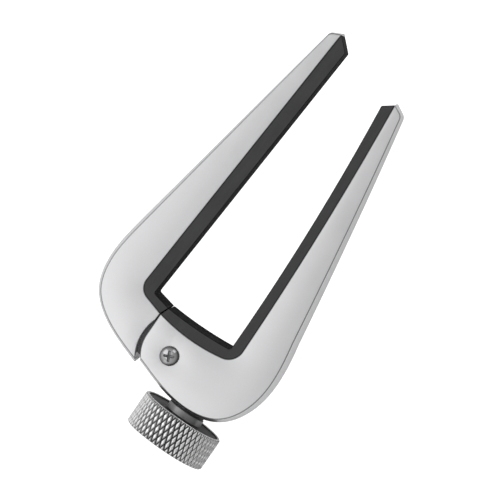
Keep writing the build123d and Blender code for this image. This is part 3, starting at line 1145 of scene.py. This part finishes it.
class Hardware:
    """The small pieces inside the heel, which keep their CAD shapes and take turned finishes."""

    STEEL: Tuple[Colour, Colour] = ((0.56, 0.56, 0.57), (0.34, 0.33, 0.32))
    BRASS: Tuple[Colour, Colour] = ((0.80, 0.60, 0.28), (0.48, 0.33, 0.14))

    def __init__(self) -> None:
        """Finds the two axes that the pieces were turned about."""
        self.pivot = self._middle("pivot_barrel", Turning.ABOUT_PIVOT)
        self.stud = self._middle("screw_stud", Turning.ABOUT_STUD)

    @staticmethod
    def _middle(node: str, axis: Turning) -> Point2:
        """The middle of a node's box, seen along an axis."""
        low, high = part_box(node)
        names = "XYZ"
        first, second = (names.index(name) for name in axis.value[:2])
        return (low[first] + high[first]) / 2, (low[second] + high[second]) / 2

    def turned(self, node: str, tones: Tuple[Colour, Colour], axis: Turning, roughness: float) -> None:
        """Gives one CAD node a turned finish about its own middle.

        Args:
            node: The CAD node.
            tones: The metal's colour and its stain's.
            axis: What it was turned about.
            roughness: How dull it is.
        """
        centre = self._middle(node, axis)
        dress(node, TurnedMetal(f"{node}_finish", tones[0], tones[1], axis, centre, roughness))

    def build(self) -> None:
        """Dresses every carried-over node."""
        self.turned("pivot_bush", self.BRASS, Turning.ABOUT_PIVOT, 0.24)
        self.turned("screw_bush", self.BRASS, Turning.ABOUT_STUD, 0.24)
        self.turned("barrel_nut", self.STEEL, Turning.ABOUT_PIVOT, 0.30)
        self.turned("lock_screw", self.STEEL, Turning.ABOUT_STUD, 0.34)
        self.turned("stud_clip", self.STEEL, Turning.ABOUT_STUD, 0.30)
        self.turned("return_spring", self.STEEL, Turning.ABOUT_STUD, 0.22)
        nylon = Nylon()
        for node in ("front_thrust_washer", "back_thrust_washer", "knob_washer"):
            dress(node, nylon)


_made_finishes: dict = {}


def finished(finish: Finish) -> bpy.types.Material:
    """A finish's material, made once."""
    if finish not in _made_finishes:
        _made_finishes[finish] = finish.make()
    return _made_finishes[finish]


def dress(node: str, finish: Finish) -> None:
    """Gives a carried-over CAD node its finish."""
    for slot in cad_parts[node].material_slots:
        slot.material = finished(finish)
    log.info("%s: CAD shape, %s", node, finish.name)


# ---------------------------------------------------------------------------------------------
# Studio
# ---------------------------------------------------------------------------------------------


@dataclass
class Lamp:
    """A square soft lamp that faces the capo: its name, its place, its power and its side."""

    name: str
    place: Tuple[float, float, float]
    watts: float
    size: float

    def hang(self) -> None:
        """Adds the lamp to the scene."""
        lamp = bpy.data.lights.new(self.name, "AREA")
        lamp.energy = self.watts
        lamp.size = self.size
        holder = bpy.data.objects.new(self.name, lamp)
        bpy.context.scene.collection.objects.link(holder)
        holder.location = self.place
        holder.rotation_euler = (-Vector(self.place)).to_track_quat("-Z", "Y").to_euler()


@dataclass
class Studio:
    """A pale floor, a soft surround and soft lamps."""

    floor_half: float = 3.0
    floor_drop: float = 0.2 * MM
    floor_tones: Tuple[float, float] = (0.82, 0.86)
    floor_glow: float = 1.2
    unseen_glow: float = 0.08
    base_light: float = 0.13
    key_light: float = 0.55
    overhead_light: float = 0.20
    far_dimming: float = 0.9
    lamps: Tuple[Lamp, ...] = (
        Lamp("key_lamp", (-0.45, 0.05, 0.45), 0.45, 0.45),
        Lamp("heel_lamp", (-0.09, -0.17, 0.45), 0.155, 0.30),
        Lamp("upper_lamp", (0.00, 0.15, 0.45), 0.03, 0.20),
        Lamp("foot_lamp", (-0.02, -0.45, 0.20), 0.04, 0.24),
        Lamp("tip_lamp", (0.10, 0.55, 0.35), 0.3, 0.30),
    )

    def build(self) -> None:
        """Builds the floor, the surround and the lamps."""
        self._floor()
        self._surround()
        for lamp in self.lamps:
            lamp.hang()

    def _floor(self) -> None:
        """The pale floor, just under the capo's lowest point."""
        half = self.floor_half
        level = CAD_BOX[0].z - self.floor_drop
        mesh = bpy.data.meshes.new("floor_mesh")
        corners = [(-half, -half, level), (half, -half, level), (half, half, level), (-half, half, level)]
        mesh.from_pydata(corners, [], [(0, 1, 2, 3)])
        floor = bpy.data.objects.new("studio_floor", mesh)
        bpy.context.scene.collection.objects.link(floor)
        sheet = MaterialSheet("pale_floor", {"Roughness": 0.9, "Specular IOR Level": 0.1,
                                             "Emission Strength": self.floor_glow})
        seen = Reading(sheet, sheet.node("ShaderNodeLightPath", {}, {}).outputs["Is Camera Ray"])
        cloud = sheet.noise(sheet.place(), 0.3, 2.0)
        dark, light = ((tone,) * 3 for tone in self.floor_tones)
        tone = sheet.blend(cloud, dark, light)
        glow = sheet.blend(seen, (self.unseen_glow,) * 3, tone)
        mesh.materials.append(sheet.feed(Base_Color=tone, Emission_Color=glow))

    def _surround(self) -> None:
        """A soft grey surround, brighter towards the key side and darker overhead."""
        world = bpy.data.worlds.new("studio_surround")
        bpy.context.scene.world = world
        world.use_nodes = True
        sheet = NodeSheet(world.node_tree)
        toward = sheet.node("ShaderNodeTexCoord", {}, {}).outputs["Generated"]
        parts = sheet.apart(toward)
        off_zenith = parts["Z"].step(0.99, 0.90)
        horizon = parts["Z"].step(0.45, 0.05)
        key_side = (0.5 - 0.30 * parts["X"] - 0.22 * parts["Y"]).clamped()
        far_side = (0.6 + 0.9 * parts["X"] + 0.3 * parts["Y"]).clamped()
        light = self.base_light + self.key_light * key_side + self.overhead_light * off_zenith
        light = light * (1.0 - self.far_dimming * horizon * far_side)
        ground = sheet.node("ShaderNodeBackground", {}, {"Color": (1, 1, 1, 1), "Strength": light})
        sheet.node("ShaderNodeOutputWorld", {}, {"Surface": ground.outputs[0]})


@dataclass
class Viewpoint:
    """A camera far above the capo, leaning a little towards its tips and its neck side."""

    distance: float = 0.9
    lean_x: float = math.radians(3.20)
    lean_y: float = math.radians(4.38)
    roll: float = math.radians(34.54)
    beyond_pivot: Point2 = (1.38 * MM, 32.87 * MM)
    above_middle: float = 3 * MM
    lens: float = 260.5
    sensor: float = 36.0

    def build(self) -> bpy.types.Object:
        """Makes the scene's camera.

        Returns:
            The camera.
        """
        low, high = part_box("pivot_bush")
        target = (low + high) / 2 + Vector((*self.beyond_pivot, self.above_middle))
        back = Vector((math.tan(self.lean_x), math.tan(self.lean_y), 1.0)).normalized()
        up = Vector((-math.sin(self.roll), math.cos(self.roll), 0.0))
        up = (up - back * up.dot(back)).normalized()
        right = up.cross(back)
        data = bpy.data.cameras.new("studio_camera")
        data.lens = self.lens
        data.sensor_width = self.sensor
        data.clip_start = 0.05
        data.clip_end = 10.0
        camera = bpy.data.objects.new("studio_camera", data)
        bpy.context.scene.collection.objects.link(camera)
        camera.matrix_world = Matrix.Translation(target + back * self.distance) @ Matrix(
            (right, up, back)).transposed().to_4x4()
        bpy.context.scene.camera = camera
        bpy.context.scene.view_settings.view_transform = "Standard"
        return camera


# ---------------------------------------------------------------------------------------------
# Assembly
# ---------------------------------------------------------------------------------------------


def main() -> None:
    """Builds the capo's pieces in order, then the studio and the camera."""
    logging.basicConfig(level=logging.INFO, format="%(message)s")
    casting = finished(SatinCasting())
    ArmCasting("string_arm", "string_arm_casting", Body.STRING, Slot.ARM_METAL, 0.22 * MM).build(casting)
    ArmCasting("neck_arm", "neck_arm_casting", Body.NECK, Slot.ARM_METAL, 0.22 * MM).build(casting)
    rubber = finished(MouldedRubber())
    RolledPart("string_pad", "string_pad_rubber", Body.STRING, Slot.PAD_RUBBER, 0.22 * MM).build(rubber)
    RolledPart("neck_pad", "neck_pad_rubber", Body.NECK, Slot.PAD_RUBBER, 0.22 * MM).build(rubber)
    screw = PivotScrew()
    screw.build(finished(screw.finish()))
    thumbscrew = Thumbscrew()
    thumbscrew.knob(finished(thumbscrew.knob_finish()))
    hardware = Hardware()
    steel, stain = Hardware.STEEL
    thumbscrew.stud(finished(TurnedMetal("stud_steel", steel, stain, Turning.ABOUT_STUD, hardware.stud)))
    barrel = RolledPart("pivot_barrel", "flanged_pivot_barrel", Body.NECK, Slot.BRIGHT_STEEL, 0.10 * MM)
    barrel.build(finished(TurnedMetal("barrel_steel", (0.70, 0.70, 0.71), stain, Turning.ABOUT_PIVOT,
                                      hardware.pivot, 0.2)))
    hardware.build()
    Studio().build()
    Viewpoint().build()


if __name__ == "__main__":
    main()
